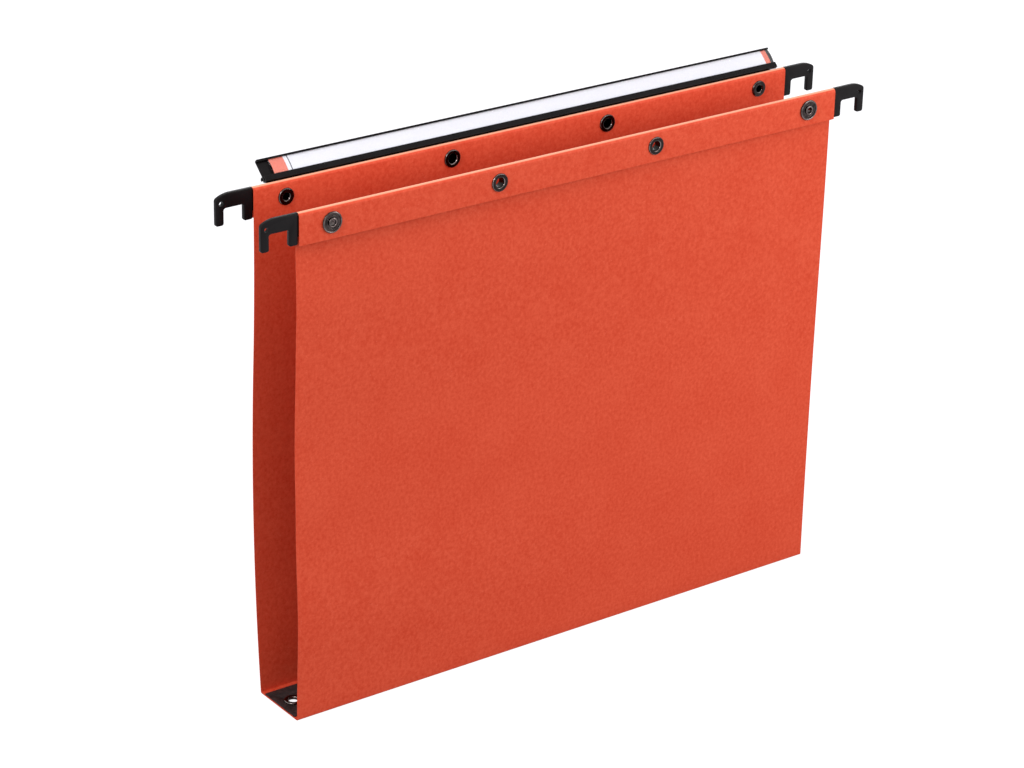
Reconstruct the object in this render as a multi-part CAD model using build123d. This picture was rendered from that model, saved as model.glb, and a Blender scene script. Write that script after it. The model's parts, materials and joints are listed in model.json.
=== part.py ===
from build123d import *
import os

# A hanging file folder with a square base: +X along the rails, +Z up.
# The origin is the middle of the base's underside. The front is at -Y.
# Every side piece is drawn behind, with +Y outward, and mirrored for the front.

# Card sheet, scored into a base, a front and a back
card_width = 310.0
card_thickness = 0.4
folder_height = 256.5
base_depth = 32.5
crease_gap = 0.1

# How far each panel stands out at its sleeve, and how it bows on the way up
front_lean = 1.1
back_lean = 1.45
front_bow = -0.5
back_bow = 1.8
bow_height = 170.0
straight_height = 20.0

# Sleeve along each top edge, made by folding the card outward over a bar
sleeve_gap = 2.65
flap_height = 15.5

# Hanger bar, a steel strip folded over into a channel that opens downward
bar_wall = 0.5
bar_clearance = 0.1
bar_height = 11.5
bar_inset = 2.0

# Moulded hooks, pushed into the ends of the bars
hook_thickness = 2.2
hook_height = 15.0
hook_gap = 0.25
prong_width = 4.55
tip_width = 4.1
hook_slope_length = 8.0
hook_slope_drop = 2.3
hook_corner_round = 1.0
hook_edge_round = 0.4
notch_width = 10.4
notch_drop = 7.0
notch_round = 1.2
prong_round = 1.0
hook_eye_radius = 1.15
hook_eye_drop = 4.6
hook_eye_inset = 2.8
tongue_length = 26.0
tongue_clearance = 0.1
tongue_margin = 1.0

# Places of the fasteners in the sleeves, four to a sleeve
fastener_drop = 7.5
snap_inset = 17.0
eyelet_spacing = 90.6
eyelet_shift = -1.6
hole_clearance = 0.1

# Eyelets, rolled tubes
eyelet_bore_radius = 2.3
eyelet_wall = 0.3
eyelet_flange_radius = 4.4
eyelet_roll_height = 0.8
eyelet_clinch_radius = 4.1
eyelet_clinch_height = 0.6

# Posts, the hollow rivets that hold the press fasteners
post_bore_radius = 1.7
post_wall = 0.35
post_flange_radius = 4.1
post_roll_height = 0.8
post_fit = 0.05
post_seat_depth = 0.3

# Press sockets on the front, dished caps that take the studs of the next folder
socket_radius = 5.1
socket_sheet = 0.45
socket_rim_radius = 0.45
socket_bore_radius = 1.45
socket_lip = 0.4
socket_height = 1.3

# Press studs on the back
stud_clearance = 0.1
stud_foot_radius = 3.95
stud_foot_height = 0.6
knob_height = 2.6
knob_waist_radius = 1.15
knob_waist_height = 0.9
knob_round = 0.4

# Stiff board in the base, with a hollow rivet at each end
board_thickness = 0.5
board_gap = 2.8
board_inset = 0.3
rivet_inset = 8.0

# Label flange, fixed behind the back sleeve, with a hinge bead along its top
flange_inset = 8.0
flange_shift = 2.0
flange_thickness = 1.0
flange_low_drop = 13.5
flange_top_drop = 3.3
flange_pocket_depth = 0.7
neck_thickness = 0.7
bead_radius = 0.75
hinge_setback = 2.15
hinge_rise = 0.1

# Label holder, an extruded channel that clips onto the bead
holder_inset = 5.75
label_shift = 2.25
holder_tilt = 42.0
ring_clearance = 0.06
ring_wall = 0.55
ring_mouth_start = -188.0
ring_mouth_turn = 103.0
holder_plate_gap = 0.14
holder_plate = 0.7
holder_front = 2.0
holder_reach = 9.3
holder_wall = 0.55
holder_lip = 0.4
lip_overhang = 0.5
front_lip_overhang = 2.25

# Label strip and the clear lens over it
label_thickness = 0.25
lens_edge = 0.55
lens_rise = 0.55
slot_clearance = 0.05
label_inset = 2.0
label_left_inset = 6.0
lens_inset = 0.5
lens_left_inset = 5.8

# Places that follow from the sizes above
pivot_y = base_depth / 2 - card_thickness / 2
pivot_z = card_thickness / 2
fold_radius = (sleeve_gap + card_thickness) / 2
fold_z = folder_height - card_thickness / 2 - fold_radius
fastener_z = folder_height - fastener_drop
snap_offset = card_width / 2 - snap_inset
snap_places = (-snap_offset, snap_offset)
eyelet_places = (eyelet_shift - eyelet_spacing / 2, eyelet_shift + eyelet_spacing / 2)
rivet_offset = card_width / 2 - rivet_inset
cut_length = 2 * folder_height
grip = sleeve_gap + 2 * card_thickness
bar_thickness = sleeve_gap - 2 * bar_clearance
post_radius = post_bore_radius + post_wall
post_hole_radius = post_radius + hole_clearance
eyelet_barrel_radius = eyelet_bore_radius + eyelet_wall
eyelet_hole_radius = eyelet_barrel_radius + hole_clearance
shoulder_x = card_width / 2 + hook_gap
notch_near = shoulder_x + prong_width
notch_far = notch_near + notch_width
hook_end = notch_far + tip_width
ring_bore_radius = bead_radius + ring_clearance
ring_radius = ring_bore_radius + ring_wall
plate_low = ring_bore_radius + holder_plate_gap
plate_top = plate_low + holder_plate
slot_height = label_thickness + lens_edge + 3 * slot_clearance
lip_low = plate_top + slot_height
lip_top = lip_low + holder_lip
flange_length = card_width - 2 * flange_inset
holder_length = card_width - 2 * holder_inset


def inner_face(lean):
    """The panel's inner face beside the sleeve."""
    return pivot_y + lean - card_thickness / 2


def outer_face(lean):
    """The flap's outer face."""
    return inner_face(lean) + grip


def sleeve_centre(lean):
    """The middle plane of the sleeve."""
    return pivot_y + lean + fold_radius


hinge_y = outer_face(back_lean) + hinge_setback
hinge_z = folder_height + hinge_rise


def along_x(section, length):
    """Draws a YZ section out along X, evenly to both ends."""
    return extrude(Plane.YZ * section, amount=length / 2, both=True)


def turned(section):
    """Turns a section of radii and heights about its own upright axis."""
    return revolve(Plane.XZ * section, axis=Axis.Z)


def cross_bores(places, radius):
    """Round cuts through the sleeves at places along X."""
    cutter = Rot(X=90) * Cylinder(radius, cut_length)
    return [Pos(place, 0, fastener_z) * cutter for place in places]


def in_front(shape):
    """The front's copy of a piece drawn behind."""
    return mirror(shape, about=Plane.XZ)


def card_panel(lean, bow):
    """One leaf of the card with its sleeve, from the crease to the flap's edge."""
    plane_y = pivot_y + lean
    flap_y = plane_y + 2 * fold_radius
    straight_low = (plane_y, folder_height - straight_height)
    bend_end = (plane_y + bow, bow_height)
    flap_low = folder_height - flap_height + card_thickness / 2
    flap = Line((flap_y, flap_low), (flap_y, fold_z))
    fold = CenterArc((sleeve_centre(lean), fold_z), fold_radius, 0, 180)
    straight = Line((plane_y, fold_z), straight_low)
    upper = TangentArc(straight_low, bend_end, tangent=(0, -1))
    lower = TangentArc(bend_end, (pivot_y, pivot_z), tangent=upper % 1)
    middle = Wire([flap, fold, straight, upper, lower])
    section = make_face(middle.offset_2d(card_thickness / 2))
    panel = along_x(section, card_width)
    panel -= cross_bores(snap_places, post_hole_radius)
    panel -= cross_bores(eyelet_places, eyelet_hole_radius)
    return panel


def card_base():
    """The strip of card between the two creases, open round the rivets' lower ends."""
    half_depth = pivot_y - card_thickness / 2 - crease_gap
    base = Pos(0, 0, card_thickness / 2) * Box(card_width, 2 * half_depth, card_thickness)
    cutter = Cylinder(eyelet_clinch_radius + hole_clearance, cut_length)
    base -= [Pos(side * rivet_offset, 0, 0) * cutter for side in (-1, 1)]
    return base


def base_board():
    """The stiff board glued on the base."""
    half_depth = pivot_y - card_thickness / 2 - board_gap
    board = Box(card_width - 2 * board_inset, 2 * half_depth, board_thickness)
    board = Pos(0, 0, card_thickness + board_thickness / 2) * board
    cutter = Cylinder(eyelet_hole_radius, cut_length)
    board -= [Pos(side * rivet_offset, 0, 0) * cutter for side in (-1, 1)]
    return board


def rolled_flange(bore_radius, flange_radius, height):
    """Half-round section of a rolled rim, standing on its seat."""
    middle = (bore_radius + flange_radius) / 2
    crown = ThreePointArc((bore_radius, 0), (middle, height), (flange_radius, 0))
    seat = Line((flange_radius, 0), (bore_radius, 0))
    return make_face([crown, seat])


def eyelet(length, clinch_height):
    """An eyelet whose rolled rim stands on z 0 and whose barrel hangs below."""
    barrel_middle = (eyelet_bore_radius + eyelet_barrel_radius) / 2
    barrel = Pos(barrel_middle, -length / 2) * Rectangle(eyelet_wall, length)
    rim = rolled_flange(eyelet_bore_radius, eyelet_flange_radius, eyelet_roll_height)
    clinch = rolled_flange(eyelet_bore_radius, eyelet_clinch_radius, -clinch_height)
    return turned(barrel + rim + Pos(0, -length) * clinch)


def post(length):
    """A hollow rivet whose rolled rim stands on z 0 and whose tube hangs below."""
    tube_middle = (post_bore_radius + post_radius) / 2
    tube = Pos(tube_middle, -length / 2) * Rectangle(post_wall, length)
    rim = rolled_flange(post_bore_radius, post_flange_radius, post_roll_height)
    return turned(tube + rim)


def post_seat():
    """The recess under a press fastener that its post goes into."""
    return Cylinder(post_radius + post_fit, 2 * post_seat_depth)


def press_socket():
    """The female half: a dished cap with a rolled rim and a rounded lip round its bore."""
    disc_radius = socket_radius - socket_rim_radius
    disc_width = disc_radius - socket_bore_radius
    disc = Pos(socket_bore_radius + disc_width / 2, socket_sheet / 2)
    disc *= Rectangle(disc_width, socket_sheet)
    rim = Pos(disc_radius, socket_rim_radius) * Circle(socket_rim_radius)
    lip_radius = socket_bore_radius + socket_lip
    wall_height = socket_height - socket_lip
    wall = Pos(lip_radius, wall_height / 2) * Rectangle(2 * socket_lip, wall_height)
    lip = Pos(lip_radius, wall_height) * Circle(socket_lip)
    return turned(disc + rim + wall + lip) - post_seat()


def press_stud():
    """The male half: a waisted knob on a foot, blind below for its post."""
    knob_radius = socket_bore_radius - stud_clearance
    foot = Pos(stud_foot_radius / 2, stud_foot_height / 2)
    foot *= Rectangle(stud_foot_radius, stud_foot_height)
    stem_height = stud_foot_height + knob_waist_height
    stem = Pos(knob_waist_radius / 2, stem_height / 2) * Rectangle(knob_waist_radius, stem_height)
    head_height = knob_height - stem_height
    head = Pos(knob_radius / 2, knob_height - head_height / 2)
    head *= Rectangle(knob_radius, head_height)
    head = fillet(head.vertices().group_by(Axis.Y)[-1].group_by(Axis.X)[-1], knob_round)
    return turned(foot + stem + head) - post_seat()


def outward(offset, face_y):
    """Stands a turned piece on a face of the sleeve, looking out of the folder."""
    return Pos(offset, face_y, fastener_z) * Rot(X=-90)


def inward(offset, face_y):
    """Stands a turned piece on a face of the sleeve, looking into the folder."""
    return Pos(offset, face_y, fastener_z) * Rot(X=90)


def hanger_bar(lean):
    """The folded strip inside a sleeve."""
    leg_offset = (bar_thickness - bar_wall) / 2
    centre = sleeve_centre(lean)
    low = fold_z + bar_thickness / 2 - bar_height
    outer = Line((centre + leg_offset, low), (centre + leg_offset, fold_z))
    crown = CenterArc((centre, fold_z), leg_offset, 0, 180)
    inner = Line((centre - leg_offset, fold_z), (centre - leg_offset, low))
    section = make_face(Wire([outer, crown, inner]).offset_2d(bar_wall / 2))
    bar = along_x(section, card_width - 2 * bar_inset)
    bar -= cross_bores(snap_places, post_hole_radius)
    bar -= cross_bores(eyelet_places, eyelet_hole_radius)
    return bar


def hook_outline():
    """Side view of a right-hand hook: two prongs that stand astride the rail."""
    slope_x = hook_end - hook_slope_length
    notch_z = folder_height - notch_drop
    low_z = folder_height - hook_height
    corner = (hook_end, folder_height - hook_slope_drop)
    top = Line((shoulder_x, folder_height), (slope_x, folder_height))
    slope = TangentArc((slope_x, folder_height), corner, tangent=(1, 0))
    prongs = Polyline(
        corner,
        (hook_end, low_z),
        (notch_far, low_z),
        (notch_far, notch_z),
        (notch_near, notch_z),
        (notch_near, low_z),
        (shoulder_x, low_z),
        (shoulder_x, folder_height),
    )
    outline = make_face([top, slope, prongs])
    levels = outline.vertices().group_by(Axis.Y)
    outline = fillet(levels[0], prong_round)
    outline = fillet(outline.vertices().filter_by_position(Axis.Y, notch_z, notch_z), notch_round)
    far_corner = outline.vertices().filter_by_position(Axis.Y, corner[1], corner[1])
    return fillet(far_corner, hook_corner_round)


def hook(lean):
    """A right-hand hook: the pronged plate, its eye, and the tongue inside the bar."""
    plate = extrude(Plane.XZ * hook_outline(), amount=hook_thickness / 2, both=True)
    plate = fillet(plate.faces().filter_by(Axis.Y).edges(), hook_edge_round)
    eye = Rot(X=90) * Cylinder(hook_eye_radius, cut_length)
    plate -= Pos(hook_end - hook_eye_inset, 0, folder_height - hook_eye_drop) * eye
    tongue_thickness = bar_thickness - 2 * bar_wall - 2 * tongue_clearance
    bar_low = fold_z + bar_thickness / 2 - bar_height
    tongue_height = fold_z - bar_low - tongue_margin
    tongue_root = prong_width / 2
    tongue = Box(tongue_length + tongue_root, tongue_thickness, tongue_height)
    tongue_x = shoulder_x + (tongue_root - tongue_length) / 2
    plate += Pos(tongue_x, 0, fold_z - tongue_height / 2) * tongue
    plate = Pos(0, sleeve_centre(lean), 0) * plate
    return plate - cross_bores(snap_places, post_hole_radius)


def label_flange():
    """The strip behind the back sleeve, with pockets over the eyelets and a bead on its neck."""
    face_y = outer_face(back_lean)
    low_z = folder_height - flange_low_drop
    top_z = folder_height - flange_top_drop
    strip = Pos(face_y + flange_thickness / 2, (low_z + top_z) / 2)
    strip *= Rectangle(flange_thickness, top_z - low_z)
    foot = (face_y + flange_thickness / 2, top_z - flange_thickness / 2)
    neck_line = Line(foot, (hinge_y, hinge_z))
    neck = make_face(Wire([neck_line]).offset_2d(neck_thickness / 2))
    bead = Pos(hinge_y, hinge_z) * Circle(bead_radius)
    flange = Pos(flange_shift, 0, 0) * along_x(strip + neck + bead, flange_length)
    flange -= cross_bores(snap_places, post_hole_radius)
    pocket = Cylinder(eyelet_clinch_radius + hole_clearance, 2 * flange_pocket_depth)
    flange -= [outward(place, face_y) * pocket for place in eyelet_places]
    return flange


def on_holder(section):
    """Carries a section drawn about the hinge, flat, to its tilted place."""
    return Pos(hinge_y, hinge_z) * Rot(Z=holder_tilt) * section


def block(low_u, high_u, low_n, high_n):
    """A rectangle of the holder's section, along and square to its face."""
    middle = Pos((low_u + high_u) / 2, (low_n + high_n) / 2)
    return middle * Rectangle(high_u - low_u, high_n - low_n)


def label_holder():
    """The extruded channel: hinge ring, back plate and the two lips over the lens."""
    mouth_arc = CenterArc((0, 0), 2 * ring_radius, ring_mouth_start, ring_mouth_turn)
    mouth_sides = Polyline(mouth_arc @ 1, (0, 0), mouth_arc @ 0)
    ring = Circle(ring_radius) - Circle(ring_bore_radius)
    ring -= make_face([mouth_arc, mouth_sides])
    plate = block(-holder_front, holder_reach, plate_low, plate_top)
    front_wall = block(-holder_front, holder_wall - holder_front, plate_low, lip_top)
    front_lip = block(-holder_front, holder_wall - holder_front + front_lip_overhang, lip_low, lip_top)
    rear_wall = block(holder_reach - holder_wall, holder_reach, plate_low, lip_top)
    rear_lip = block(holder_reach - holder_wall - lip_overhang, holder_reach, lip_low, lip_top)
    section = ring + plate + front_wall + front_lip + rear_wall + rear_lip
    return Pos(label_shift, 0, 0) * along_x(on_holder(section), holder_length)


def label_lens():
    """The clear strip over the label, held under both lips and crowned between them."""
    low_u = holder_wall - holder_front + slot_clearance
    high_u = holder_reach - holder_wall - slot_clearance
    low_n = plate_top + label_thickness + 2 * slot_clearance
    body = block(low_u, high_u, low_n, low_n + lens_edge)
    crown_low = holder_wall - holder_front + front_lip_overhang + slot_clearance
    crown_high = holder_reach - holder_wall - lip_overhang - slot_clearance
    crown_n = low_n + lens_edge
    start = (crown_low, crown_n)
    end = (crown_high, crown_n)
    crown = ThreePointArc(start, ((crown_low + crown_high) / 2, crown_n + lens_rise), end)
    body += make_face([crown, Line(end, start)])
    length = holder_length - lens_inset - lens_left_inset
    middle_x = label_shift + (lens_left_inset - lens_inset) / 2
    return Pos(middle_x, 0, 0) * along_x(on_holder(body), length)


def label_strip():
    """The paper strip under the lens; it stops short of the holder's left end."""
    low_u = holder_wall - holder_front + slot_clearance
    high_u = holder_reach - holder_wall - slot_clearance
    low_n = plate_top + slot_clearance
    section = on_holder(block(low_u, high_u, low_n, low_n + label_thickness))
    length = holder_length - label_inset - label_left_inset
    middle_x = label_shift + (label_left_inset - label_inset) / 2
    return Pos(middle_x, 0, 0) * along_x(section, length)


def sided(shape, side):
    """A right-hand piece, or its mirror image for the left."""
    return shape if side > 0 else mirror(shape, about=Plane.YZ)


def fastener_sides():
    """Name, sign, press fastener's place and eyelet's place, left and right."""
    return zip(("left", "right"), (-1, 1), snap_places, eyelet_places)


def front_pieces():
    """Everything on the front leaf."""
    face = outer_face(front_lean)
    inside = inner_face(front_lean)
    pieces = {
        "front_panel": card_panel(front_lean, front_bow),
        "front_hanger_bar": hanger_bar(front_lean),
    }
    for name, side, snap_x, eyelet_x in fastener_sides():
        pieces[f"front_{name}_hook"] = sided(hook(front_lean), side)
        pieces[f"front_{name}_socket"] = outward(snap_x, face) * press_socket()
        pieces[f"front_{name}_socket_post"] = inward(snap_x, inside) * post(grip + post_seat_depth)
        pieces[f"front_{name}_eyelet"] = outward(eyelet_x, face) * eyelet(grip, eyelet_clinch_height)
    return {name: in_front(shape) for name, shape in pieces.items()}


def back_pieces():
    """Everything on the back leaf."""
    face = outer_face(back_lean) + flange_thickness
    inside = inner_face(back_lean)
    post_length = grip + flange_thickness + post_seat_depth
    pieces = {
        "back_panel": card_panel(back_lean, back_bow),
        "back_hanger_bar": hanger_bar(back_lean),
        "label_flange": label_flange(),
        "label_holder": label_holder(),
        "label_lens": label_lens(),
        "label_strip": label_strip(),
    }
    for name, side, snap_x, eyelet_x in fastener_sides():
        pieces[f"back_{name}_hook"] = sided(hook(back_lean), side)
        pieces[f"back_{name}_stud"] = outward(snap_x, face) * press_stud()
        pieces[f"back_{name}_stud_post"] = inward(snap_x, inside) * post(post_length)
        pieces[f"back_{name}_eyelet"] = inward(eyelet_x, inside) * eyelet(grip, eyelet_clinch_height)
    return pieces


def base_pieces():
    """The base: card, board and the rivets at its ends."""
    board_top = card_thickness + board_thickness
    pieces = {"base_panel": card_base(), "base_board": base_board()}
    for name, side in (("left", -1), ("right", 1)):
        rivet = eyelet(board_thickness, card_thickness)
        pieces[f"base_{name}_rivet"] = Pos(side * rivet_offset, 0, board_top) * rivet
    return pieces


os.makedirs("parts", exist_ok=True)
for group in (base_pieces(), front_pieces(), back_pieces()):
    for node, shape in group.items():
        export_step(shape, f"parts/{node}.step")
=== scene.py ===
import json
import math

import bmesh
import bpy
from mathutils import Matrix, Vector

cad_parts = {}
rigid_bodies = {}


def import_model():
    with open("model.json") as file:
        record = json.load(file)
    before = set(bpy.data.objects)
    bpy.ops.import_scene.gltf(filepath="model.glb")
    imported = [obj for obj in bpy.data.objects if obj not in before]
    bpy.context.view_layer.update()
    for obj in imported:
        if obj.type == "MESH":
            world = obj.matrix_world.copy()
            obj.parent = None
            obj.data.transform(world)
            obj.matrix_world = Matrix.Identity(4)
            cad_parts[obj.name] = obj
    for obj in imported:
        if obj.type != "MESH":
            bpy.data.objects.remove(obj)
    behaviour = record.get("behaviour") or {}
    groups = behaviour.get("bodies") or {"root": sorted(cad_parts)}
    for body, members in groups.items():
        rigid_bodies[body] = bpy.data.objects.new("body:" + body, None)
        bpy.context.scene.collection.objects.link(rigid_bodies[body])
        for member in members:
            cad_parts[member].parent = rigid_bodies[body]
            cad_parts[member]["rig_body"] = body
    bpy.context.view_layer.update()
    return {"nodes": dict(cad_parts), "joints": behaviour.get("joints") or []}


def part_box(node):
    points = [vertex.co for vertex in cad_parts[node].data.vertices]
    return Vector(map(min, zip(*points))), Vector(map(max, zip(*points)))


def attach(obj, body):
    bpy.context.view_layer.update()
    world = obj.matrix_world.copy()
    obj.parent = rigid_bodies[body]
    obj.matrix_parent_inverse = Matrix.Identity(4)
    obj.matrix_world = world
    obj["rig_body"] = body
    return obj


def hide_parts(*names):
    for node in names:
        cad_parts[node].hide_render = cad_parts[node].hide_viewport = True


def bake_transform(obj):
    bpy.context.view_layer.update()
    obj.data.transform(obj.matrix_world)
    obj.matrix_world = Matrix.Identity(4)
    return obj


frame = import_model()
scene = bpy.context.scene
nodes = frame["nodes"]
joints = {joint["name"]: joint for joint in frame["joints"]}

# Card: one sheet of kraft dyed orange through, scored at two creases and folded outward over the
# hanger bars at both ends, made as two halves that meet under the base board. The cut edges show a
# paler core; a paler band along each fold crest is partly rubbed fibre, partly a painted highlight.
card_thickness = 0.0004
crease_radius = 0.0006
fold_radius = 0.001525
flap_height = 0.0155
straight_height = 0.020
bow_height = 0.170
card_strips = 62
front_bow = -0.0005
back_bow = 0.0018
post_hole_radius = 0.00215
eyelet_hole_radius = 0.0027
rivet_hole_radius = 0.0042
leaves = ("front", "back")
ends = ("left", "right")
cutter_length = 0.06
cutter_sides = 48
sharp_angle = math.radians(38)
# Depths below the top edge where the painted fold highlight, partly rubbed fibre, is full and where it
# ends.
fold_highlight_full_drop = 0.00014
fold_highlight_end_drop = 0.00048
card_dark = (0.675, 0.065, 0.024, 1)
card_light = (0.780, 0.108, 0.047, 1)
card_fleck = (0.84, 0.19, 0.11, 1)
# Pale colour of the fold crests: partly rubbed fibre, partly a painted highlight.
card_worn_highlight = (0.90, 0.41, 0.24, 1)
card_edge_dark = (0.62, 0.13, 0.085, 1)
card_edge_light = (0.86, 0.27, 0.19, 1)
cloud_share = 0.18
mottle_share = 0.68
streak_share = 0.14
streak_stretch = (1, 1, 0.3)
unit_range = (0.0, 1.0)
noise_range = (0.3, 0.7)
tone_range = (0.36, 0.64)
fleck_range = (0.66, 0.80)
fleck_strength = 0.35
card_roughness = (0.60, 0.48)
card_specular = 0.10
card_bump = 0.35
card_relief = 0.00008


def put(tree, kind, sockets=None, **options):
    """Adds a node, sets its options, and fills its sockets with links or plain values."""
    made = tree.nodes.new(kind)
    for name, value in options.items():
        setattr(made, name, value)
    for socket, value in (sockets or {}).items():
        if isinstance(value, bpy.types.NodeSocket):
            tree.links.new(value, made.inputs[socket])
        else:
            made.inputs[socket].default_value = value
    return made


def math_node(tree, operation, first, second):
    """The value of one sum or product."""
    return put(tree, "ShaderNodeMath", {0: first, 1: second}, operation=operation).outputs[0]


def spread(tree, value, given, wanted=unit_range):
    """Carries a value from the given range to the wanted one, held at both ends."""
    limits = {"Value": value, 1: given[0], 2: given[1], 3: wanted[0], 4: wanted[1]}
    return put(tree, "ShaderNodeMapRange", limits).outputs[0]


def mixed(tree, share, first, second):
    """A colour between two colours."""
    return put(tree, "ShaderNodeMix", {0: share, 6: first, 7: second}, data_type="RGBA").outputs[2]


def new_group(name, inputs, outputs):
    """An empty shader group with value inputs, a vector input and value outputs."""
    tree = bpy.data.node_groups.new(name, "ShaderNodeTree")
    tree.interface.new_socket("Vector", in_out="INPUT", socket_type="NodeSocketVector")
    for socket, value in inputs.items():
        made = tree.interface.new_socket(socket, in_out="INPUT", socket_type="NodeSocketFloat")
        made.default_value = value
    for socket in outputs:
        tree.interface.new_socket(socket, in_out="OUTPUT", socket_type="NodeSocketFloat")
    return tree, tree.nodes.new("NodeGroupInput").outputs, tree.nodes.new("NodeGroupOutput").inputs


def noise(tree, vector, scale, detail, roughness=0.5):
    """The value of a noise pattern."""
    sockets = {"Vector": vector, "Scale": scale, "Detail": detail, "Roughness": roughness}
    return put(tree, "ShaderNodeTexNoise", sockets).outputs[0]


def paper_fibre():
    """Pulp: soft clouds, a mottle, streaks along the machine direction, grain and loose flecks."""
    inputs = {"Cloud": 45.0, "Mottle": 560.0, "Streak": 900.0, "Grain": 1500.0, "Fleck": 1300.0}
    tree, given, result = new_group("paper_fibre", inputs, ("Tone", "Fleck", "Height"))
    vector = given["Vector"]
    cloud = noise(tree, vector, given["Cloud"], detail=3.0)
    mottle = noise(tree, vector, given["Mottle"], detail=4.0, roughness=0.65)
    stretched = put(tree, "ShaderNodeMapping", {"Vector": vector, "Scale": streak_stretch}).outputs[0]
    streak = noise(tree, stretched, given["Streak"], detail=2.0)
    grain = noise(tree, vector, given["Grain"], detail=3.0, roughness=0.62)
    fleck = noise(tree, vector, given["Fleck"], detail=1.0)
    tone = math_node(tree, "MULTIPLY", cloud, cloud_share)
    tone = math_node(tree, "ADD", tone, math_node(tree, "MULTIPLY", mottle, mottle_share))
    tone = math_node(tree, "ADD", tone, math_node(tree, "MULTIPLY", streak, streak_share))
    tree.links.new(tone, result["Tone"])
    tree.links.new(spread(tree, fleck, fleck_range), result["Fleck"])
    tree.links.new(math_node(tree, "ADD", grain, fleck), result["Height"])
    return tree


def new_material(name):
    """A material with its shader, and the object coordinates that its patterns read."""
    made = bpy.data.materials.new(name)
    made.use_nodes = True
    tree = made.node_tree
    shader = tree.nodes["Principled BSDF"]
    return made, tree, shader, tree.nodes.new("ShaderNodeTexCoord").outputs["Object"]


def bumped(tree, shader, height, strength, distance):
    """Raises a material's surface by a height pattern."""
    sockets = {"Height": height, "Strength": strength, "Distance": distance}
    tree.links.new(put(tree, "ShaderNodeBump", sockets).outputs[0], shader.inputs["Normal"])


def dyed_kraft(name, dark, light, fleck):
    """Matt card, mottled between two tones, and paler where its mesh says so: rubbed fibre and a painted
    highlight.
    """
    made, tree, shader, place = new_material(name)
    fibre = put(tree, "ShaderNodeGroup", node_tree=fibre_group)
    tree.links.new(place, fibre.inputs["Vector"])
    share = spread(tree, fibre.outputs["Tone"], tone_range)
    colour = mixed(tree, share, dark, light)
    # Painted highlight, partly rubbed fibre: fold crests turn pale by the mesh's fold attribute.
    worn_highlight = put(tree, "ShaderNodeAttribute", attribute_name="fold_wear_highlight").outputs["Fac"]
    colour = mixed(tree, worn_highlight, colour, card_worn_highlight)
    fleck_share = math_node(tree, "MULTIPLY", fibre.outputs["Fleck"], fleck_strength)
    tree.links.new(mixed(tree, fleck_share, colour, fleck), shader.inputs["Base Color"])
    rough = spread(tree, fibre.outputs["Tone"], noise_range, card_roughness)
    tree.links.new(rough, shader.inputs["Roughness"])
    shader.inputs["Specular IOR Level"].default_value = card_specular
    bumped(tree, shader, fibre.outputs["Height"], card_bump, card_relief)
    return made


def run(shape, corner, place):
    """Carries a line straight on to a place, and gives its new end."""
    made = bmesh.ops.extrude_vert_indiv(shape, verts=[corner])
    made["verts"][0].co = place
    return made["verts"][0]


def turn(shape, corner, centre, angle, steps, axis=(1, 0, 0)):
    """Carries a line on round a centre, and gives its new end."""
    made = bmesh.ops.spin(shape, geom=[corner], cent=centre, axis=axis, angle=angle, steps=steps)
    return next(part for part in made["geom_last"] if isinstance(part, bmesh.types.BMVert))


def arc_to(shape, corner, heading, place, steps, axis=(1, 0, 0)):
    """Carries a line on along a tangent arc to a place, and gives its new end and heading."""
    chord = place - corner.co
    aside = Vector(axis).cross(heading)
    angle = math.atan2(chord.dot(aside), chord.dot(heading))
    centre = corner.co + aside * (chord.length / (2 * math.sin(angle)))
    end = turn(shape, corner, centre, 2 * angle, steps, axis)
    return end, Matrix.Rotation(2 * angle, 3, axis) @ heading


def new_piece(name, mesh, *materials):
    """An object of a mesh, smooth except at its sharp edges."""
    mesh.materials.clear()
    for material in materials:
        mesh.materials.append(material)
    mesh.shade_smooth()
    mesh.set_sharp_from_angle(angle=sharp_angle)
    piece = bpy.data.objects.new(name, mesh)
    scene.collection.objects.link(piece)
    return piece


def as_mesh(name, shape):
    """A mesh of a finished bmesh."""
    mesh = bpy.data.meshes.new(name)
    shape.to_mesh(mesh)
    shape.free()
    return mesh


def modified(piece):
    """The mesh that a piece's modifiers give."""
    seen = piece.evaluated_get(bpy.context.evaluated_depsgraph_get())
    return bpy.data.meshes.new_from_object(seen)


def combined(piece, tool, operation):
    """Cuts or joins a piece by a tool, which is used up."""
    cut = piece.modifiers.new(operation, "BOOLEAN")
    cut.operation = operation
    cut.solver = "EXACT"
    cut.object = tool
    piece.data = modified(piece)
    piece.modifiers.clear()
    bpy.data.objects.remove(tool)


def punch(piece, places, radius, direction):
    """Punches round holes through a piece at several places."""
    shape = bmesh.new()
    for place in places:
        bmesh.ops.create_cone(
            shape,
            cap_ends=True,
            segments=cutter_sides,
            radius1=radius,
            radius2=radius,
            depth=cutter_length,
            matrix=Matrix.Translation(place) @ direction,
        )
    combined(piece, new_piece("punch", as_mesh("punch", shape)), "DIFFERENCE")


def node_middle(node):
    """The middle of a node's box."""
    low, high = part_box(node)
    return (low + high) / 2


across_sleeve = Matrix.Rotation(math.pi / 2, 4, "X")
upright = Matrix.Identity(4)
fibre_group = paper_fibre()
card_face = dyed_kraft("dyed_card", card_dark, card_light, card_fleck)
card_edge = dyed_kraft("card_cut_edge", card_edge_dark, card_edge_light, card_fleck)


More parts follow.
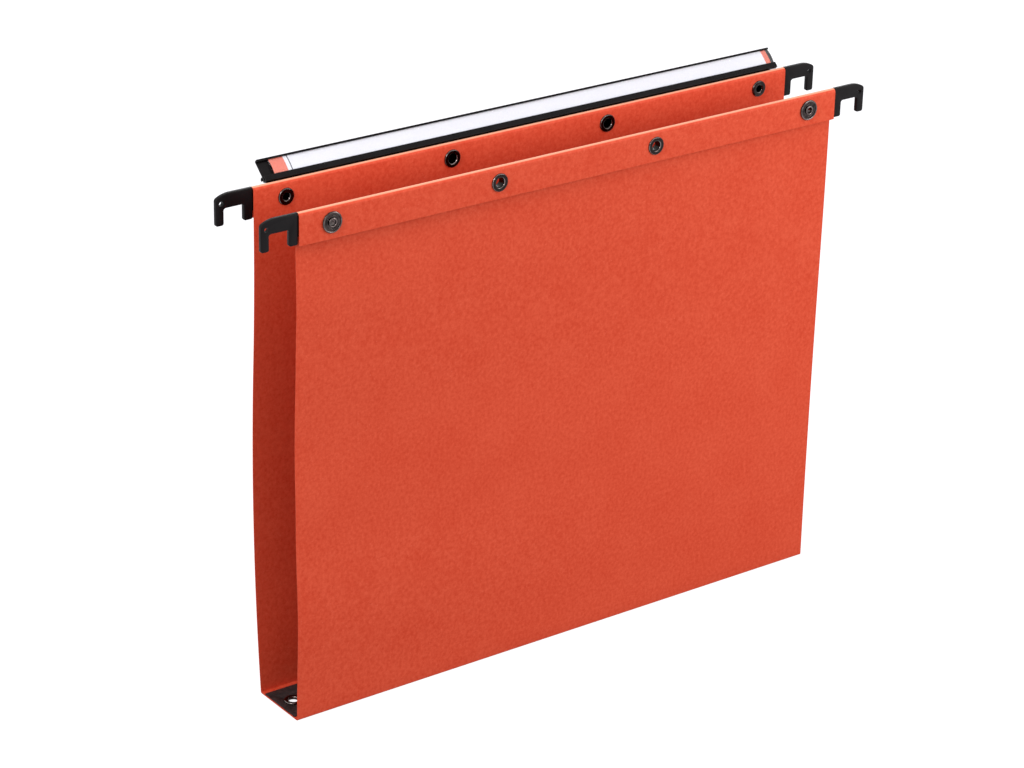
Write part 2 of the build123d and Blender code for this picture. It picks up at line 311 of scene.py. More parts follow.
def card_half(leaf, side, bow, waves):
    """One half of the sheet, from its flap over the sleeve and down its leaf to the middle of the base.

    A wave starts and ends at shares of the leaf's height, and has its depth at the left edge.
    """
    low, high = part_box(f"{leaf}_panel")
    pivot = Vector(joints[f"{leaf}_fold"]["pos_m"])
    sleeve_y = abs(node_middle(f"{leaf}_left_hook").y)
    flap_y = sleeve_y + fold_radius
    inner_y = sleeve_y - fold_radius
    fold_z = high.z - card_thickness / 2 - fold_radius
    straight_z = high.z - straight_height
    crease_z = pivot.z + crease_radius
    crease_y = abs(pivot.y)
    shape = bmesh.new()
    corner = shape.verts.new((low.x, flap_y, high.z - flap_height))
    corner = run(shape, corner, (low.x, flap_y, fold_z))
    corner = turn(shape, corner, (low.x, sleeve_y, fold_z), math.pi, steps=16)
    corner = run(shape, corner, (low.x, inner_y, straight_z))
    bend = Vector((low.x, inner_y + bow, bow_height))
    corner, heading = arc_to(shape, corner, Vector((0, 0, -1)), bend, steps=10)
    crease = Vector((low.x, crease_y, crease_z))
    corner = arc_to(shape, corner, heading, crease, steps=24)[0]
    corner = turn(shape, corner, (low.x, crease_y - crease_radius, crease_z), -math.pi / 2, steps=6)
    run(shape, corner, (low.x, 0, pivot.z))
    width = high.x - low.x
    outline = shape.verts[:] + shape.edges[:]
    bmesh.ops.spin(shape, geom=outline, steps=card_strips, dvec=(width / card_strips, 0, 0))
    for vert in shape.verts:
        rise = (vert.co.z - crease_z) / (straight_z - crease_z)
        nearness = (high.x - vert.co.x) / width
        for start, end, depth in waves:
            if start < rise < end:
                along_wave = (rise - start) / (end - start)
                vert.co.y += depth * nearness**2 * math.sin(math.pi * along_wave) ** 2
    bmesh.ops.scale(shape, vec=(1, side, 1), verts=shape.verts[:])
    piece = new_piece(f"card_{leaf}_half", as_mesh("card", shape), card_face, card_edge)
    wall = piece.modifiers.new("card", "SOLIDIFY")
    wall.thickness = card_thickness
    wall.offset = 0
    wall.use_even_offset = True
    wall.material_offset_rim = 1
    piece.data = modified(piece)
    piece.modifiers.clear()
    fastener = "socket" if side < 0 else "stud"
    punch(piece, [node_middle(f"{leaf}_{end}_{fastener}") for end in ends], post_hole_radius, across_sleeve)
    punch(piece, [node_middle(f"{leaf}_{end}_eyelet") for end in ends], eyelet_hole_radius, across_sleeve)
    punch(piece, [node_middle(f"base_{end}_rivet") for end in ends], rivet_hole_radius, upright)
    mesh = piece.data
    bpy.data.objects.remove(piece)
    # Painted highlight, partly rubbed fibre: a pale share along the crest of each fold.
    wear_highlight = mesh.attributes.new("fold_wear_highlight", "FLOAT", "POINT")
    for vert in mesh.vertices:
        drop = high.z - vert.co.z
        share = (fold_highlight_end_drop - drop) / (fold_highlight_end_drop - fold_highlight_full_drop)
        wear_highlight.data[vert.index].value = min(max(share, 0.0), 1.0)
    piece = new_piece(f"card_{leaf}_half", mesh, card_face, card_edge)
    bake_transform(piece)
    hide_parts(f"{leaf}_panel", "base_panel")


front_waves = ((0.0, 0.42, 0.0015), (0.42, 0.78, -0.0008), (0.78, 1.0, 0.0007))
card_half("front", -1, front_bow, front_waves)
card_half("back", 1, back_bow, ())

# Base board: a stiff strip of black pressboard glued on the base between the creases.
# It is cut with a knife, so its edges are only slightly rounded, and a hollow rivet goes
# through each end.
board_edge = 0.00015
board_hole_radius = 0.0027
board_dark = (0.020, 0.015, 0.014, 1)
board_light = (0.052, 0.038, 0.035, 1)
board_fleck = (0.10, 0.08, 0.075, 1)


def block(low, high):
    """A plain block between two corners."""
    shape = bmesh.new()
    bmesh.ops.create_cube(shape, size=1)
    bmesh.ops.scale(shape, vec=high - low, verts=shape.verts[:])
    bmesh.ops.translate(shape, vec=(low + high) / 2, verts=shape.verts[:])
    return shape


def softened(shape, parts, radius, segments, affect="EDGES"):
    """Rounds edges of a solid, or corners of a flat face."""
    bmesh.ops.bevel(
        shape,
        geom=parts,
        offset=radius,
        segments=segments,
        profile=0.5,
        affect=affect,
        material=-1,
    )


def own_body(node):
    """The body that a node belongs to."""
    return nodes[node]["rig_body"]


def stands_for(piece, node):
    """Lets a finished piece ride where its node is and stand for it."""
    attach(piece, own_body(node))
    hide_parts(node)


board_low, board_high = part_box("base_board")
shape = block(board_low, board_high)
softened(shape, shape.edges[:], board_edge, segments=2)
pressboard = dyed_kraft("pressboard", board_dark, board_light, board_fleck)
board = new_piece("pressboard_strip", as_mesh("board", shape), pressboard)
rivet_places = [node_middle(f"base_{end}_rivet") for end in ends]
punch(board, rivet_places, board_hole_radius, upright)
stands_for(board, "base_board")

# Hanger bars: steel strip folded into a channel and slid into each sleeve, which hides it.
# The rolled surface has fine lines along its length.
bar_dark = (0.42, 0.42, 0.43, 1)
bar_light = (0.66, 0.67, 0.68, 1)
steel_line_scale = 2600.0
steel_line_stretch = (0.01, 1, 1)
steel_roughness = (0.24, 0.42)
steel_bump = 0.2
steel_relief = 0.00002
rolled_steel, tree, shader, place = new_material("rolled_steel")
drawn = put(tree, "ShaderNodeMapping", {"Vector": place, "Scale": steel_line_stretch}).outputs[0]
lines = noise(tree, drawn, steel_line_scale, detail=3.0)
tree.links.new(mixed(tree, lines, bar_dark, bar_light), shader.inputs["Base Color"])
tree.links.new(spread(tree, lines, noise_range, steel_roughness), shader.inputs["Roughness"])
shader.inputs["Metallic"].default_value = 1.0
bumped(tree, shader, lines, steel_bump, steel_relief)
for leaf in leaves:
    nodes[f"{leaf}_hanger_bar"].material_slots[0].material = rolled_steel

# Hooks: injection moulded in black polyamide, with two prongs that stand astride the rail and a
# small eye near the tip. The tongue of each is pushed into the end of its bar.
prong_width = 0.00455
notch_width = 0.0104
tip_width = 0.0041
hook_slope_length = 0.0080
hook_slope_drop = 0.0023
hook_corner_round = 0.0010
notch_drop = 0.0070
notch_round = 0.0012
prong_round = 0.0010
hook_edge_round = 0.0004
hook_thickness = 0.0022
hook_eye_radius = 0.00115
hook_eye_inset = 0.0028
hook_eye_drop = 0.0046
tongue_root = 0.002275
tongue_thickness = 0.00125
tongue_drop = 0.0017
tongue_height = 0.0095
black_dark = (0.0030, 0.0023, 0.0024, 1)
black_light = (0.0070, 0.0056, 0.0058, 1)
flow_share = 0.6
grain_share = 0.4
plastic_specular = 0.12
plastic_bump = 0.3
hook_roughness = (0.34, 0.50)
hook_relief = 0.00003


def moulded_grain():
    """Moulded plastic: slow flow marks and a fine grain."""
    inputs = {"Flow": 120.0, "Grain": 2200.0}
    tree, given, result = new_group("moulded_grain", inputs, ("Tone", "Grain"))
    flow = noise(tree, given["Vector"], given["Flow"], detail=2.0)
    grain = noise(tree, given["Vector"], given["Grain"], detail=2.0)
    tone = math_node(tree, "MULTIPLY", flow, flow_share)
    tone = math_node(tree, "ADD", tone, math_node(tree, "MULTIPLY", grain, grain_share))
    tree.links.new(tone, result["Tone"])
    tree.links.new(grain, result["Grain"])
    return tree


grain_group = moulded_grain()


def black_plastic(name, roughness, relief):
    """Satin black plastic."""
    made, tree, shader, place = new_material(name)
    grain = put(tree, "ShaderNodeGroup", node_tree=grain_group)
    tree.links.new(place, grain.inputs["Vector"])
    share = spread(tree, grain.outputs["Tone"], noise_range)
    tree.links.new(mixed(tree, share, black_dark, black_light), shader.inputs["Base Color"])
    rough = spread(tree, grain.outputs["Tone"], noise_range, roughness)
    tree.links.new(rough, shader.inputs["Roughness"])
    shader.inputs["Specular IOR Level"].default_value = plastic_specular
    bumped(tree, shader, grain.outputs["Grain"], plastic_bump, relief)
    return made


def drawn_out(shape, reach):
    """Draws a flat face out into a solid."""
    made = bmesh.ops.extrude_face_region(shape, geom=shape.faces[:])
    moved = [part for part in made["geom"] if isinstance(part, bmesh.types.BMVert)]
    bmesh.ops.translate(shape, vec=reach, verts=moved)
    bmesh.ops.recalc_face_normals(shape, faces=shape.faces[:])


def hook_mesh():
    """A right-hand hook about the middle plane of its sleeve."""
    low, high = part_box("front_right_hook")
    notch_far = high.x - tip_width
    notch_near = notch_far - notch_width
    shoulder = notch_near - prong_width
    notch_z = high.z - notch_drop
    near_face = -hook_thickness / 2
    shape = bmesh.new()
    first = shape.verts.new((shoulder, near_face, high.z))
    corner = run(shape, first, (high.x - hook_slope_length, near_face, high.z))
    tip = Vector((high.x, near_face, high.z - hook_slope_drop))
    tip_corner = arc_to(shape, corner, Vector((1, 0, 0)), tip, steps=8, axis=(0, 1, 0))[0]
    tip_low = run(shape, tip_corner, (high.x, near_face, low.z))
    far_low = run(shape, tip_low, (notch_far, near_face, low.z))
    far_top = run(shape, far_low, (notch_far, near_face, notch_z))
    near_top = run(shape, far_top, (notch_near, near_face, notch_z))
    near_low = run(shape, near_top, (notch_near, near_face, low.z))
    last = run(shape, near_low, (shoulder, near_face, low.z))
    shape.edges.new((last, first))
    bmesh.ops.contextual_create(shape, geom=shape.edges[:])
    softened(shape, [tip_low, far_low, near_low, last], prong_round, segments=6, affect="VERTICES")
    softened(shape, [far_top, near_top], notch_round, segments=6, affect="VERTICES")
    tip_corner = min(shape.verts, key=lambda vert: (vert.co - tip).length)
    softened(shape, [tip_corner], hook_corner_round, segments=6, affect="VERTICES")
    drawn_out(shape, (0, hook_thickness, 0))
    rim = [edge for edge in shape.edges if abs(edge.verts[0].co.y - edge.verts[1].co.y) < hook_edge_round]
    softened(shape, rim, hook_edge_round, segments=3)
    plate = new_piece("hook", as_mesh("hook", shape))
    tongue_z = high.z - tongue_drop
    tongue_low = Vector((low.x, -tongue_thickness / 2, tongue_z - tongue_height))
    tongue = block(tongue_low, Vector((shoulder + tongue_root, tongue_thickness / 2, tongue_z)))
    combined(plate, new_piece("tongue", as_mesh("tongue", tongue)), "UNION")
    eye = Vector((high.x - hook_eye_inset, 0, high.z - hook_eye_drop))
    punch(plate, [eye], hook_eye_radius, across_sleeve)
    punch(plate, [node_middle("front_right_socket")], post_hole_radius, across_sleeve)
    mesh = plate.data
    bpy.data.objects.remove(plate)
    return mesh


def set_in(name, mesh, placing, node, material):
    """Puts a copy of a mesh in the place of a node."""
    copy = mesh.copy()
    copy.transform(placing)
    if placing.determinant() < 0:
        copy.flip_normals()
    stands_for(new_piece(name, copy, material), node)


hook_black = black_plastic("moulded_black", hook_roughness, hook_relief)
one_hook = hook_mesh()
for leaf in leaves:
    for end, side in (("left", -1), ("right", 1)):
        node = f"{leaf}_{end}_hook"
        aside = Matrix.Diagonal((side, 1, 1, 1))
        placing = Matrix.Translation((0, node_middle(node).y, 0)) @ aside
        set_in(f"hook_{leaf}_{end}", one_hook, placing, node, hook_black)

# Eyelets and base rivets: rolled brass tube, plated black nickel, with the edges partly rubbed bright
# and partly a painted highlight.
# The rim is a full round roll, and the far end is clinched over after the tube goes through the
# sleeve or the board.
eyelet_bore = 0.0023
eyelet_wall = 0.0003
eyelet_rim = 0.0044
eyelet_roll = 0.0008
eyelet_rim_edge = 0.00055
eyelet_clinch = 0.0041
eyelet_clinch_roll = 0.0006
turned_steps = 56
merge_distance = 1e-7
# Heights at which crests start and finish turning bright: partly burnish, partly painted highlight.
burnish_glint_low = 0.00055
burnish_glint_high = 0.00085
edge_slope = 0.6
edge_spread = 0.3
nickel_dark = (0.008, 0.0052, 0.0047, 1)
nickel_light = (0.019, 0.0125, 0.0108, 1)
# Bright metal of crests and edges: partly burnished plating, partly a painted highlight.
nickel_burnished_glint = (0.48, 0.38, 0.36, 1)
haze_scale = 380.0
haze_range = (0.32, 0.68)
scratch_scale = 3200.0
scratch_roughness = 0.1
# How strongly the painted highlight and burnish show, varying with the haze.
rubbed_glint_haze_range = (0.35, 0.6)
rubbed_glint_strength = (0.35, 1.0)
nickel_roughness = (0.10, 0.22)
nickel_coat = 0.2
nickel_coat_roughness = 0.08
nickel_bump = 0.12
nickel_relief = 0.00002


def black_nickel():
    """Dark plated metal with handling marks, bright on its crests and edges: partly burnished, partly a
    painted highlight.
    """
    made, tree, shader, place = new_material("black_nickel")
    haze = noise(tree, place, haze_scale, detail=3.0, roughness=0.6)
    scratch = noise(tree, place, scratch_scale, detail=2.0)
    share = spread(tree, haze, haze_range)
    # Painted highlight, partly real burnish: crests and sloping edges turn bright by the mesh's attribute.
    rubbed_glint = put(tree, "ShaderNodeAttribute", attribute_name="burnish_glint").outputs["Fac"]
    rubbed_glint = math_node(tree, "MULTIPLY", rubbed_glint, spread(tree, haze, rubbed_glint_haze_range, rubbed_glint_strength))
    plate = mixed(tree, share, nickel_dark, nickel_light)
    tree.links.new(mixed(tree, rubbed_glint, plate, nickel_burnished_glint), shader.inputs["Base Color"])
    rough = spread(tree, haze, noise_range, nickel_roughness)
    rough = math_node(tree, "ADD", rough, math_node(tree, "MULTIPLY", scratch, scratch_roughness))
    tree.links.new(rough, shader.inputs["Roughness"])
    shader.inputs["Metallic"].default_value = 1.0
    shader.inputs["Coat Weight"].default_value = nickel_coat
    shader.inputs["Coat Roughness"].default_value = nickel_coat_roughness
    bumped(tree, shader, scratch, nickel_bump, nickel_relief)
    return made


def turned(name, shape, crest_polish_glint, edge_polish_glint):
    """A mesh of a profile of radii and heights, turned full circle about its upright axis.

    Its high crests and its sloping edges are made bright by the two polishes: partly burnish, partly
    painted highlight.
    """
    outline = shape.verts[:] + shape.edges[:]
    circle = 2 * math.pi
    bmesh.ops.spin(shape, geom=outline, axis=(0, 0, 1), angle=circle, steps=turned_steps, use_merge=True)
    bmesh.ops.remove_doubles(shape, verts=shape.verts[:], dist=merge_distance)
    bmesh.ops.recalc_face_normals(shape, faces=shape.faces[:])
    # Painted highlight, partly real burnish: high crests and sloping edges get a bright share.
    burnish_glint = shape.verts.layers.float.new("burnish_glint")
    shape.normal_update()
    for vert in shape.verts:
        crest = min(max((vert.co.z - burnish_glint_low) / (burnish_glint_high - burnish_glint_low), 0.0), 1.0)
        edge = max(1.0 - abs(abs(vert.normal.z) - edge_slope) / edge_spread, 0.0)
        vert[burnish_glint] = max(crest_polish_glint * crest, edge_polish_glint * edge)
    return as_mesh(name, shape)


def rolled_rim(shape, corner, bore, rim, roll, edge, up):
    """Rolls a tube's end outward: round into the bore, over, and down to its seat."""
    about = (0, 1, 0)
    seat = corner.co.z
    quarter = up * math.pi / 2
    corner = turn(shape, corner, (bore + roll, 0, seat), quarter, steps=8, axis=about)
    corner = run(shape, corner, (rim - edge, 0, seat + up * roll))
    corner = turn(shape, corner, (rim - edge, 0, seat + up * (roll - edge)), quarter, steps=6, axis=about)
    return run(shape, corner, (rim, 0, seat))


def eyelet_mesh(name, length, clinch_roll):
    """An eyelet whose rim stands on height 0 and whose barrel hangs below."""
    barrel = eyelet_bore + eyelet_wall
    clinch_edge = clinch_roll * eyelet_rim_edge / eyelet_roll
    shape = bmesh.new()
    first = shape.verts.new((eyelet_bore, 0, 0))
    corner = rolled_rim(shape, first, eyelet_bore, eyelet_rim, eyelet_roll, eyelet_rim_edge, 1)
    corner = run(shape, corner, (barrel, 0, 0))
    barrel_low = run(shape, corner, (barrel, 0, -length))
    clinch_first = shape.verts.new((eyelet_bore, 0, -length))
    corner = rolled_rim(shape, clinch_first, eyelet_bore, eyelet_clinch, clinch_roll, clinch_edge, -1)
    shape.edges.new((corner, barrel_low))
    shape.edges.new((clinch_first, first))
    return turned(name, shape, crest_polish_glint=0.0, edge_polish_glint=0.8)


def facing(place, outward):
    """Stands a turned piece at a place, looking forward or back."""
    return Matrix.Translation(place) @ Matrix.Rotation(-outward * math.pi / 2, 4, "X")


nickel = black_nickel()
grip = 2 * fold_radius + card_thickness
sleeve_eyelet = eyelet_mesh("eyelet", grip, eyelet_clinch_roll)
for leaf in leaves:
    for end in ends:
        node = f"{leaf}_{end}_eyelet"
        place = node_middle(node)
        place.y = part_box(node)[0].y + eyelet_roll
        set_in(f"eyelet_{leaf}_{end}", sleeve_eyelet, facing(place, -1), node, nickel)
board_rivet = eyelet_mesh("rivet", board_high.z - board_low.z, card_thickness)
for end in ends:
    node = f"base_{end}_rivet"
    place = node_middle(node)
    place.z = board_high.z
    set_in(f"rivet_{end}", board_rivet, Matrix.Translation(place), node, nickel)

# Press fasteners: a socket on each end of the front sleeve and a stud on each end of the back one,
# pressed from sheet, plated black nickel and held by hollow posts from inside. The socket is a
# dished cap with a rolled rim, a raised ring in the dish and a rounded lip round its bore.
post_bore = 0.0017
post_wall = 0.00035
post_rim = 0.0041
post_roll = 0.0008
post_rim_edge = 0.0006
post_seat = 0.0021
post_seat_depth = 0.0003
socket_radius = 0.0051
socket_sheet = 0.00045
socket_rim = 0.00045
socket_bore = 0.00145
socket_lip = 0.0004
socket_height = 0.0013
dish_ring = 0.0031
dish_ring_half = 0.00022
stud_foot = 0.00395
stud_foot_height = 0.0006
stud_foot_edge = 0.0002
knob_radius = 0.00135
knob_waist = 0.00115
knob_waist_height = 0.0015
knob_height = 0.0026
knob_round = 0.0004


def post_mesh(length):
    """A hollow post whose rim stands on height 0 and whose tube hangs below."""
    shape = bmesh.new()
    first = shape.verts.new((post_bore, 0, 0))
    corner = rolled_rim(shape, first, post_bore, post_rim, post_roll, post_rim_edge, 1)
    corner = run(shape, corner, (post_bore + post_wall, 0, 0))
    corner = run(shape, corner, (post_bore + post_wall, 0, -length))
    corner = run(shape, corner, (post_bore, 0, -length))
    shape.edges.new((corner, first))
    return turned("post", shape, crest_polish_glint=0.03, edge_polish_glint=0.6)


def socket_mesh():
    """A socket on height 0: bore, rounded lip, ringed dish, rolled rim and the seat of its post."""
    about = (0, 1, 0)
    lip_middle = socket_bore + socket_lip
    lip_height = socket_height - socket_lip
    rim_middle = socket_radius - socket_rim
    shape = bmesh.new()
    first = shape.verts.new((socket_bore, 0, post_seat_depth))
    corner = run(shape, first, (socket_bore, 0, lip_height))
    corner = turn(shape, corner, (lip_middle, 0, lip_height), math.pi, steps=14, axis=about)
    corner = run(shape, corner, (lip_middle + socket_lip, 0, socket_sheet))
    corner = run(shape, corner, (dish_ring - dish_ring_half, 0, socket_sheet))
    corner = turn(shape, corner, (dish_ring, 0, socket_sheet), math.pi, steps=10, axis=about)
    corner = run(shape, corner, (rim_middle - socket_rim, 0, socket_sheet))
    corner = turn(shape, corner, (rim_middle, 0, socket_rim), 1.5 * math.pi, steps=18, axis=about)
    corner = run(shape, corner, (post_seat, 0, 0))
    corner = run(shape, corner, (post_seat, 0, post_seat_depth))
    shape.edges.new((corner, first))
    return turned("socket", shape, crest_polish_glint=0.3, edge_polish_glint=0.15)


def stud_mesh():
    """A stud on height 0: a foot and a waisted knob that goes into the next folder's socket."""
    about = (0, 1, 0)
    quarter = math.pi / 2
    shape = bmesh.new()
    corner = shape.verts.new((0, 0, knob_height))
    corner = run(shape, corner, (knob_radius - knob_round, 0, knob_height))
    knob_middle = (knob_radius - knob_round, 0, knob_height - knob_round)
    corner = turn(shape, corner, knob_middle, quarter, steps=8, axis=about)
    corner = run(shape, corner, (knob_radius, 0, knob_waist_height))
    corner = run(shape, corner, (knob_waist, 0, knob_waist_height))
    corner = run(shape, corner, (knob_waist, 0, stud_foot_height))
    foot_middle = (stud_foot - stud_foot_edge, 0, stud_foot_height - stud_foot_edge)
    corner = run(shape, corner, (foot_middle[0], 0, stud_foot_height))
    corner = turn(shape, corner, foot_middle, quarter, steps=5, axis=about)
    corner = run(shape, corner, (stud_foot, 0, 0))
    corner = run(shape, corner, (post_seat, 0, 0))
    corner = run(shape, corner, (post_seat, 0, post_seat_depth))
    run(shape, corner, (0, 0, post_seat_depth))
    return turned("stud", shape, crest_polish_glint=0.2, edge_polish_glint=0.2)


def fasten(name, mesh, node, outward, stand):
    """Stands a fastener on its leaf, a given height from the far side of its node's box."""
    low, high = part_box(node)
    place = node_middle(node)
    place.y = high.y - stand if outward > 0 else low.y + stand
    set_in(name, mesh, facing(place, outward), node, nickel)


def fasten_post(name, node, outward):
    """Puts in a post as long as its node."""
    low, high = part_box(node)
    fasten(name, post_mesh(high.y - low.y - post_roll), node, outward, post_roll)


one_socket = socket_mesh()
one_stud = stud_mesh()
for end in ends:
    fasten(f"socket_{end}", one_socket, f"front_{end}_socket", -1, socket_height)
    fasten(f"stud_{end}", one_stud, f"back_{end}_stud", 1, knob_height)
    fasten_post(f"socket_post_{end}", f"front_{end}_socket_post", 1)
    fasten_post(f"stud_post_{end}", f"back_{end}_stud_post", -1)

# Label flange and holder: black PVC extrusions. The flange is held behind the back sleeve by the
# stud posts, and the holder's ring clips onto the bead along the flange's top, so it can tilt.
holder_tilt = math.radians(42)
ring_bore = 0.00081
ring_radius = 0.00136
ring_mouth_start = math.radians(-85)
ring_mouth_end = math.radians(172)
holder_front = -0.0020
holder_reach = 0.0093
plate_low = 0.00095
plate_top = 0.00165
lip_low = 0.0026
lip_top = 0.0030
holder_wall = 0.00055
front_lip_reach = 0.0008
rear_lip_reach = 0.00825
lip_round = 0.00012
extruded_roughness = (0.22, 0.36)
extruded_relief = 0.00001
extruded_black = black_plastic("extruded_black", extruded_roughness, extruded_relief)
nodes["label_flange"].material_slots[0].material = extruded_black
hinge = Vector(joints["label_tilt"]["pos_m"])


def on_holder(x, along, above):
    """A point of the holder's section, along and above its tilted face."""
    flat = Vector((0, along, above))
    return Vector((x, hinge.y, hinge.z)) + Matrix.Rotation(holder_tilt, 3, "X") @ flat


def section_line(shape, corner, x, points):
    """Carries a line on through points of the holder's section, and gives its new corners."""
    corners = []
    for along, above in points:
        corner = run(shape, corner, on_holder(x, along, above))
        corners.append(corner)
    return corners


def round_hinge(x, radius, angle):
    """A point round the hinge, by its angle from the holder's face."""
    return on_holder(x, radius * math.cos(angle), radius * math.sin(angle))


low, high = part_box("label_holder")
left_x = low.x
shape = bmesh.new()
first = shape.verts.new(on_holder(left_x, front_lip_reach, lip_low))
front_wall = ((front_lip_reach, lip_top), (holder_front, lip_top), (holder_front, plate_low))
lips = [first] + section_line(shape, first, left_x, front_wall)
meet_angle = math.pi - math.asin(plate_low / ring_radius)
corner = run(shape, lips[-1], round_hinge(left_x, ring_radius, meet_angle))
axis_point = (left_x, hinge.y, hinge.z)
corner = turn(shape, corner, axis_point, ring_mouth_end - meet_angle, steps=4)
corner = run(shape, corner, round_hinge(left_x, ring_bore, ring_mouth_end))
corner = turn(shape, corner, axis_point, ring_mouth_start - ring_mouth_end, steps=20)
corner = run(shape, corner, round_hinge(left_x, ring_radius, ring_mouth_start))
corner = turn(shape, corner, axis_point, math.pi - meet_angle - ring_mouth_start, steps=12)
rear_wall = (
    (holder_reach, plate_low),
    (holder_reach, lip_top),
    (rear_lip_reach, lip_top),
    (rear_lip_reach, lip_low),
)
lips += section_line(shape, corner, left_x, rear_wall)
channel = (
    (holder_reach - holder_wall, lip_low),
    (holder_reach - holder_wall, plate_top),
    (holder_front + holder_wall, plate_top),
    (holder_front + holder_wall, lip_low),
)
last = section_line(shape, lips[-1], left_x, channel)[-1]
shape.edges.new((last, first))
bmesh.ops.contextual_create(shape, geom=shape.edges[:])
softened(shape, lips, lip_round, segments=3, affect="VERTICES")
drawn_out(shape, (high.x - low.x, 0, 0))
holder = new_piece("label_channel_extrusion", as_mesh("holder", shape), extruded_black)
stands_for(holder, "label_holder")

# Label strip: white paper, with a plain orange block printed at each end and a thin rule beside
# the left block. It slides in from the right.
label_low_along = -0.0014
label_high_along = 0.0087
label_low_above = 0.00170
label_high_above = 0.00195
left_block = 0.0076
rule_offset = 0.0095
rule_width = 0.00055
right_block = 0.0030
paper_dark = (0.76, 0.77, 0.74, 1)
paper_light = (0.82, 0.83, 0.79, 1)
print_dark = (0.70, 0.13, 0.07, 1)
print_light = (0.83, 0.20, 0.11, 1)
rule_ink = (0.05, 0.05, 0.055, 1)
label_mottle = 1400.0
label_tone_range = (0.34, 0.66)
label_roughness = (0.75, 0.6)
label_bump = 0.2
label_relief = 0.00003
low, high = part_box("label_strip")
label_paper, tree, shader, place = new_material("printed_label")
fibre = put(tree, "ShaderNodeGroup", {"Mottle": label_mottle}, node_tree=fibre_group)
tree.links.new(place, fibre.inputs["Vector"])
share = spread(tree, fibre.outputs["Tone"], label_tone_range)
along_label = put(tree, "ShaderNodeSeparateXYZ", {0: place}).outputs["X"]
left_print = math_node(tree, "LESS_THAN", along_label, low.x + left_block)
right_print = math_node(tree, "GREATER_THAN", along_label, high.x - right_block)
printed = math_node(tree, "MAXIMUM", left_print, right_print)
rule_start = math_node(tree, "GREATER_THAN", along_label, low.x + rule_offset)
rule_end = math_node(tree, "LESS_THAN", along_label, low.x + rule_offset + rule_width)
rule = math_node(tree, "MULTIPLY", rule_start, rule_end)
colour = mixed(tree, share, paper_dark, paper_light)
colour = mixed(tree, printed, colour, mixed(tree, share, print_dark, print_light))
tree.links.new(mixed(tree, rule, colour, rule_ink), shader.inputs["Base Color"])
tree.links.new(spread(tree, share, unit_range, label_roughness), shader.inputs["Roughness"])
bumped(tree, shader, fibre.outputs["Height"], label_bump, label_relief)
shape = bmesh.new()
first = shape.verts.new(on_holder(low.x, label_low_along, label_low_above))
sheet = (
    (label_high_along, label_low_above),
    (label_high_along, label_high_above),
    (label_low_along, label_high_above),
)
last = section_line(shape, first, low.x, sheet)[-1]
shape.edges.new((last, first))
bmesh.ops.contextual_create(shape, geom=shape.edges[:])
drawn_out(shape, (high.x - low.x, 0, 0))
label = new_piece("paper_label", as_mesh("label", shape), label_paper)
stands_for(label, "label_strip")

# Label lens: a clear extruded strip with a crowned face, held under both lips of the holder.
# Light reaches the label straight through it, and what the label scatters leaves the same way.
lens_low_along = -0.0014
lens_high_along = 0.0087
lens_low_above = 0.0020
lens_edge_above = 0.00255
crown_low_along = 0.00085
crown_high_along = 0.0082
crown_rise = 0.00055
lens_tint = (0.98, 0.985, 1.0, 1)
lens_ior = 1.49
lens_roughness = (0.03, 0.10)
smear_scale = 260.0
smear_stretch = (0.08, 1, 1)
low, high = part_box("label_lens")
shape = bmesh.new()
first = shape.verts.new(on_holder(low.x, lens_low_along, lens_low_above))
rear_edge = (
    (lens_high_along, lens_low_above),
    (lens_high_along, lens_edge_above),
    (crown_high_along, lens_edge_above),
)
corner = section_line(shape, first, low.x, rear_edge)[-1]
crown_half = (crown_high_along - crown_low_along) / 2
crown_angle = 2 * math.atan(crown_rise / crown_half)
crown_radius = crown_half / math.sin(crown_angle)
crown_middle = (crown_low_along + crown_high_along) / 2
crown_centre = on_holder(low.x, crown_middle, lens_edge_above + crown_rise - crown_radius)
corner = turn(shape, corner, crown_centre, 2 * crown_angle, steps=16)
corner = run(shape, corner, on_holder(low.x, lens_low_along, lens_edge_above))
shape.edges.new((corner, first))
bmesh.ops.contextual_create(shape, geom=shape.edges[:])
drawn_out(shape, (high.x - low.x, 0, 0))
lens_clear, tree, shader, place = new_material("clear_lens")
wiped = put(tree, "ShaderNodeMapping", {"Vector": place, "Scale": smear_stretch}).outputs[0]
smears = noise(tree, wiped, smear_scale, detail=2.0)
shader.inputs["Base Color"].default_value = lens_tint
shader.inputs["Transmission Weight"].default_value = 1.0
shader.inputs["IOR"].default_value = lens_ior
tree.links.new(spread(tree, smears, noise_range, lens_roughness), shader.inputs["Roughness"])
straight = put(tree, "ShaderNodeBsdfTransparent", {"Color": lens_tint}).outputs[0]
rays = tree.nodes.new("ShaderNodeLightPath").outputs
past_lens = math_node(tree, "MAXIMUM", rays["Is Shadow Ray"], rays["Is Diffuse Ray"])
lens_mix = put(tree, "ShaderNodeMixShader", {0: past_lens, 1: shader.outputs[0], 2: straight})
tree.links.new(lens_mix.outputs[0], tree.nodes["Material Output"].inputs["Surface"])
lens = new_piece("label_lens_strip", as_mesh("lens", shape), lens_clear)
stands_for(lens, "label_lens")

# Studio: a white sweep under even light from all round, with soft lamps at the right, behind,
# above and at the left. Where the camera, metal or glass sees it, it is plain white.
floor_size = 6.0
floor_white = (0.30, 0.30, 0.30, 1)
floor_roughness = 0.9
floor_glow = 0.82
ambient = 0.77
ambient_tint = (0.98, 0.94, 1.10, 1)
white = (1, 1, 1, 1)


def seen_directly(tree):
    """One for rays by which the camera, metal or glass sees a surface, and else nought."""
    rays = tree.nodes.new("ShaderNodeLightPath").outputs
    seen = math_node(tree, "MAXIMUM", rays["Is Camera Ray"], rays["Is Glossy Ray"])
    return math_node(tree, "MAXIMUM", seen, rays["Is Transmission Ray"])


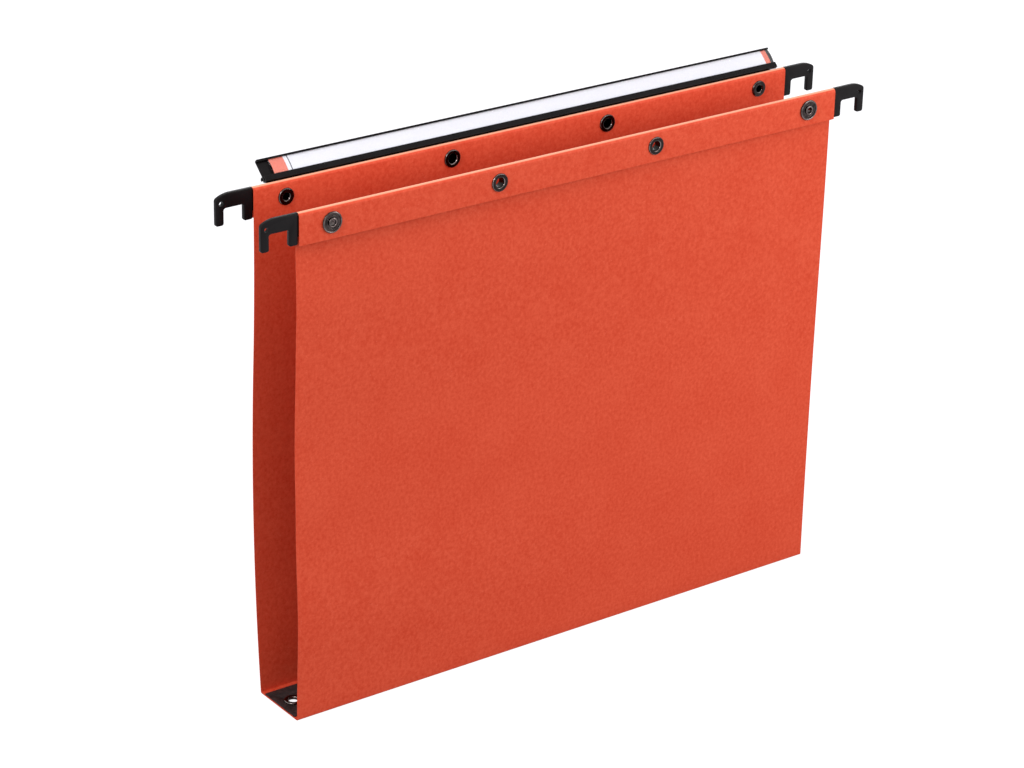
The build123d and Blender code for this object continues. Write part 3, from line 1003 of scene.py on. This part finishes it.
shape = bmesh.new()
bmesh.ops.create_grid(shape, x_segments=1, y_segments=1, size=floor_size)
sweep_white, tree, shader, place = new_material("studio_white")
seen = seen_directly(tree)
shader.inputs["Base Color"].default_value = floor_white
shader.inputs["Roughness"].default_value = floor_roughness
shader.inputs["Specular IOR Level"].default_value = 0.0
shader.inputs["Emission Color"].default_value = white
tree.links.new(math_node(tree, "MULTIPLY", seen, floor_glow), shader.inputs["Emission Strength"])
studio_floor = new_piece("studio_floor", as_mesh("floor", shape), sweep_white)

world = bpy.data.worlds.new("studio")
world.use_nodes = True
scene.world = world
tree = world.node_tree
seen = seen_directly(tree)
backdrop = tree.nodes["Background"]
tree.links.new(mixed(tree, seen, ambient_tint, white), backdrop.inputs["Color"])
tree.links.new(spread(tree, seen, unit_range, (ambient, 1.0)), backdrop.inputs["Strength"])


def softbox(name, place, target, size, power):
    """A square soft light that looks at a target."""
    lamp = bpy.data.lights.new(name, "AREA")
    lamp.size = size
    lamp.energy = power
    stand = bpy.data.objects.new(name, lamp)
    stand.location = place
    stand.rotation_euler = (Vector(target) - Vector(place)).to_track_quat("-Z", "Y").to_euler()
    scene.collection.objects.link(stand)


softbox("key_light", place=(0.50, -0.58, 0.46), target=(0.03, 0, 0.2), size=0.35, power=3.0)
softbox("rim_light", place=(0.85, 1.35, 0.45), target=(0, 0, 0.22), size=0.9, power=6.0)
softbox("top_light", place=(0.05, 0.05, 1.3), target=(0, 0, 0.25), size=0.25, power=1.0)
softbox("right_spark", place=(0.9, -0.65, 0.75), target=(0, 0, 0.24), size=0.06, power=0.35)
softbox("fill_light", place=(-0.5, -0.12, 0.55), target=(-0.13, 0, 0.22), size=0.2, power=1.3)
scene.view_settings.view_transform = "Standard"

# Camera: a long lens in front, to the left and above, at the photograph's angle and turned a
# little about its own axis.
camera_azimuth = math.radians(-36.494)
camera_elevation = math.radians(24.067)
camera_roll = math.radians(1.305)
camera_distance = 1.57361
camera_target = Vector((-0.02225, 0, 0.13471))
camera_lens = 115.63
camera_sensor = 36
backward = Vector(
    (
        math.sin(camera_azimuth) * math.cos(camera_elevation),
        -math.cos(camera_azimuth) * math.cos(camera_elevation),
        math.sin(camera_elevation),
    )
)
level_right = Vector((0, 0, 1)).cross(backward).normalized()
level_up = backward.cross(level_right)
right = math.cos(camera_roll) * level_right + math.sin(camera_roll) * level_up
up = backward.cross(right)
camera = bpy.data.objects.new("camera", bpy.data.cameras.new("camera"))
camera.data.lens = camera_lens
camera.data.sensor_width = camera_sensor
camera.location = camera_target + backward * camera_distance
camera.rotation_euler = Matrix((right, up, backward)).transposed().to_euler()
scene.collection.objects.link(camera)
scene.camera = camera
